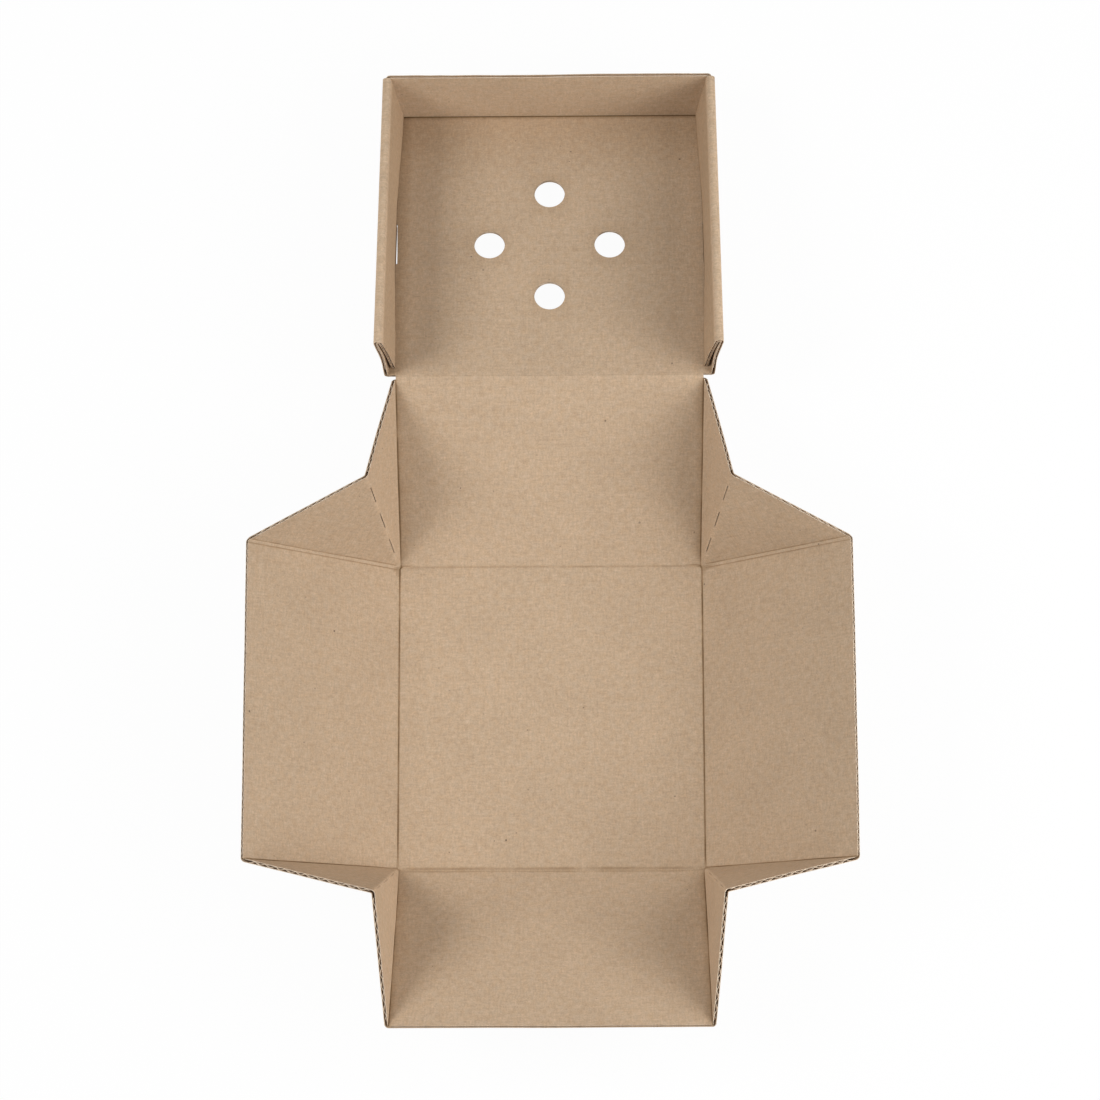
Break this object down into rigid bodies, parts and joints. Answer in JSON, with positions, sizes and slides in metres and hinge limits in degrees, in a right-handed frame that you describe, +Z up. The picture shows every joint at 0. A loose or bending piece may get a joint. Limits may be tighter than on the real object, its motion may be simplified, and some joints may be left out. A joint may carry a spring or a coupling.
{
  "type": "burger box",
  "caption": "Open kraft corrugated burger box: square tray with splayed walls, perforated web corners and a vented lid with rolled double side walls hinged on the back wall.",
  "frame": {"origin": "middle of the base panel's underside, on the table", "axes": "+Z up, -Y the front wall, +Y the back wall and the opened lid, X along the lid's hinge"},
  "size_m": [0.2508, 0.4087, 0.0592],
  "materials": {
    "tray_board": "matte kraft liner",
    "lid_board": "matte kraft liner"
  },
  "bodies": {
    "tray": {"tray": "tray_board"},
    "lid": {"lid": "lid_board"}
  },
  "joints": [
    {"name": "lid_hinge", "type": "hinge", "parent": "tray", "child": "lid", "pos_m": [0, 0.14229, 0.02661], "axis": [1, 0, 0], "range_deg": [0, 72]}
  ]
}
